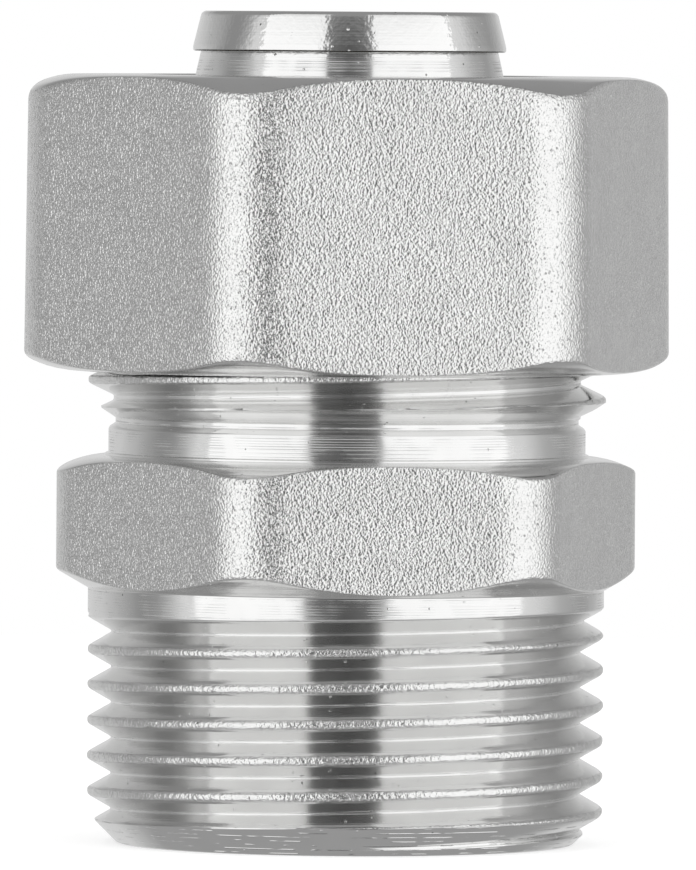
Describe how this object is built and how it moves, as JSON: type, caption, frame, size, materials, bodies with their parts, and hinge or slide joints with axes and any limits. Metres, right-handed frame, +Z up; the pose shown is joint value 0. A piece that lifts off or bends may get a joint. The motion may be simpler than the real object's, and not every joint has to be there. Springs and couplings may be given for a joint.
{
  "type": "compression connector",
  "caption": "Straight compression connector with a male pipe thread, a spanner hexagon and a union nut that clamps a split ring round a plastic pipe on a barbed, O-ringed spigot.",
  "frame": {"origin": "centre of the end face of the male thread", "axes": "+Z up along the waterway towards the spigot, -Y square to a flat of the body hexagon"},
  "size_m": [0.0334, 0.0304, 0.0426],
  "materials": {
    "nickel_body": "nickel-plated, turned and blasted",
    "nickel_nut": "nickel-plated, blasted",
    "brass_ring": "turned",
    "washer_plastic": "smooth",
    "seal_rubber": "moulded"
  },
  "bodies": {
    "fitting": {"fitting_body": "nickel_body", "o_ring_upper": "seal_rubber", "o_ring_lower": "seal_rubber", "insulating_washer": "washer_plastic"},
    "ring": {"split_ring": "brass_ring"},
    "nut": {"union_nut": "nickel_nut"}
  },
  "joints": [
    {"name": "ring_slide", "type": "slide", "parent": "fitting", "child": "ring", "axis": [0, 0, 1], "range_m": [0, 0.00726]},
    {"name": "nut_turn", "type": "hinge", "parent": "ring", "child": "nut", "pos_m": [0, 0, 0.0317], "axis": [0, 0, 1], "range_deg": [0, 1440]}
  ],
  "couplings": [
    {"joint": "ring_slide", "follows": "nut_turn", "m_per_rad": 0.00028875}
  ]
}
